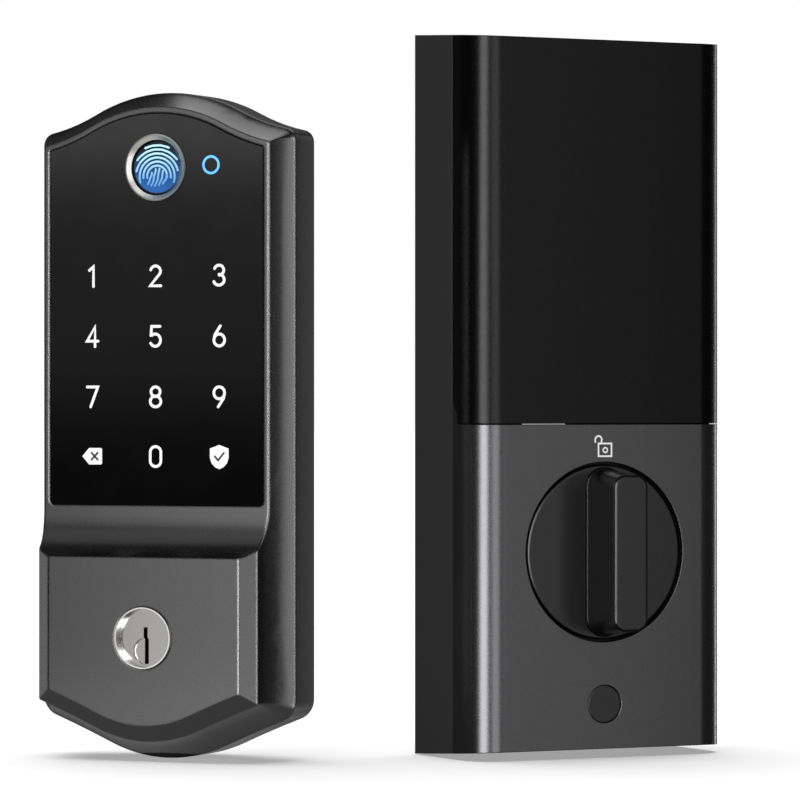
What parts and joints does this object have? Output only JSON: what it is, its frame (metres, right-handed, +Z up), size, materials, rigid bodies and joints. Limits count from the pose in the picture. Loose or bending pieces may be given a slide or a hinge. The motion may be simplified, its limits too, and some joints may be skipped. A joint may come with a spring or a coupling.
{
  "type": "keypad smart lock",
  "caption": "Two-part electronic door lock: keypad unit with fingerprint reader and key cylinder, and an inner unit with thumb turn and battery cover.",
  "frame": {"origin": "middle of the pair's footprint, on the surface both units stand on", "axes": "+Z up along the units' height, +X from the keypad unit to the inner unit, +Y towards the door side"},
  "size_m": [0.174, 0.0858, 0.1849],
  "materials": {
    "housing_metal": "satin dark graphite paint on die-cast zinc",
    "panel_glass": "black tinted touch glass, opaque",
    "light_guide": "milky diffuser",
    "circuit_board": "green solder mask",
    "reader_ring": "polished dished ring",
    "reader_pad": "fingerprint pad lit blue",
    "black_plastic": "fine-grained black moulding",
    "cover_plastic": "satin black moulding",
    "graphite_metal": "anodised graphite, fine brushed",
    "plate_steel": "zinc-plated steel",
    "screw_steel": "zinc-plated screws",
    "gasket_foam": "closed-cell foam",
    "grommet_rubber": "soft black rubber",
    "cylinder_chrome": "satin chrome",
    "pin_brass": "turned brass",
    "spring_steel": "spring wire",
    "turn_black": "satin black moulding",
    "gear_plastic": "natural acetal",
    "motor_can": "nickel-plated can",
    "cell_wrap": "printed cell sleeve, plain",
    "button_white": "small push cap"
  },
  "bodies": {
    "exterior_unit": {"keypad_housing": "housing_metal", "keypad_panel": "panel_glass", "keypad_light_guide": "light_guide", "keypad_board": "circuit_board", "status_light_pipe": "light_guide", "fingerprint_ring": "reader_ring", "fingerprint_sensor": "reader_pad", "buzzer": "black_plastic", "keypad_back_plate": "plate_steel", "back_plate_screws": "screw_steel", "rear_gasket": "gasket_foam", "cable_grommet": "grommet_rubber", "mounting_posts": "plate_steel", "cylinder_housing": "cylinder_chrome", "driver_pins": "pin_brass", "pin_springs": "spring_steel"},
    "key_cylinder_plug": {"key_plug": "cylinder_chrome", "key_pins": "pin_brass", "plug_cam": "plate_steel", "tailpiece": "plate_steel"},
    "interior_unit": {"interior_base": "black_plastic", "mounting_plate": "plate_steel", "plate_screws": "screw_steel", "chassis": "black_plastic", "chassis_screws": "screw_steel", "faceplate": "graphite_metal", "emblem_plate": "cover_plastic", "thumb_turn_bush": "gear_plastic", "gear_shafts": "spring_steel", "drive_motor": "motor_can", "gearbox_plate": "plate_steel", "gearbox_screws": "screw_steel", "position_sensor": "circuit_board", "battery_tray": "black_plastic", "batteries": "cell_wrap", "battery_contacts": "spring_steel", "main_board": "circuit_board", "cable_socket": "light_guide"},
    "thumb_turn": {"thumb_turn_disc": "turn_black", "thumb_turn_grip": "turn_black", "retaining_ring": "spring_steel", "drive_gear": "gear_plastic"},
    "first_gear": {"first_gear": "gear_plastic"},
    "second_gear": {"second_gear": "gear_plastic"},
    "motor_pinion": {"motor_pinion": "pin_brass"},
    "battery_cover": {"battery_cover": "cover_plastic"},
    "reset_button": {"reset_button": "button_white"}
  },
  "joints": [
    {"name": "key_turn", "type": "hinge", "parent": "exterior_unit", "child": "key_cylinder_plug", "pos_m": [-0.04954, -0.00809, 0.0311], "axis": [-0.3923, -0.9198, 0], "range_deg": [-90, 90]},
    {"name": "interior_lift", "type": "slide", "parent": "exterior_unit", "child": "interior_unit", "axis": [0, 0, 1], "range_m": [0, 0.05]},
    {"name": "thumb_turn_spin", "type": "hinge", "parent": "interior_unit", "child": "thumb_turn", "pos_m": [0.04136, 0.01281, 0.0523], "axis": [0.4586, -0.8886, 0], "range_deg": [-90, 90]},
    {"name": "first_gear_spin", "type": "hinge", "parent": "interior_unit", "child": "first_gear", "pos_m": [0.05114, 0.01786, 0.0301], "axis": [0.4586, -0.8886, 0], "range_deg": [-380, 380]},
    {"name": "second_gear_spin", "type": "hinge", "parent": "interior_unit", "child": "second_gear", "pos_m": [0.03515, 0.00961, 0.02341], "axis": [0.4586, -0.8886, 0], "range_deg": [-1130, 1130]},
    {"name": "motor_spin", "type": "hinge", "parent": "interior_unit", "child": "motor_pinion", "pos_m": [0.01867, 0.0011, 0.01844], "axis": [0.4586, -0.8886, 0], "range_deg": [-3380, 3380]},
    {"name": "battery_cover_slide", "type": "slide", "parent": "interior_unit", "child": "battery_cover", "axis": [0, 0, 1], "range_m": [0, 0.1]},
    {"name": "reset_press", "type": "slide", "parent": "interior_unit", "child": "reset_button", "axis": [-0.4586, 0.8886, 0], "range_m": [0, 0.0005], "stiffness_N_per_m": 800}
  ],
  "couplings": [
    {"joint": "first_gear_spin", "follows": "thumb_turn_spin", "ratio": -4.1667},
    {"joint": "second_gear_spin", "follows": "thumb_turn_spin", "ratio": 12.5},
    {"joint": "motor_spin", "follows": "thumb_turn_spin", "ratio": -37.5}
  ]
}
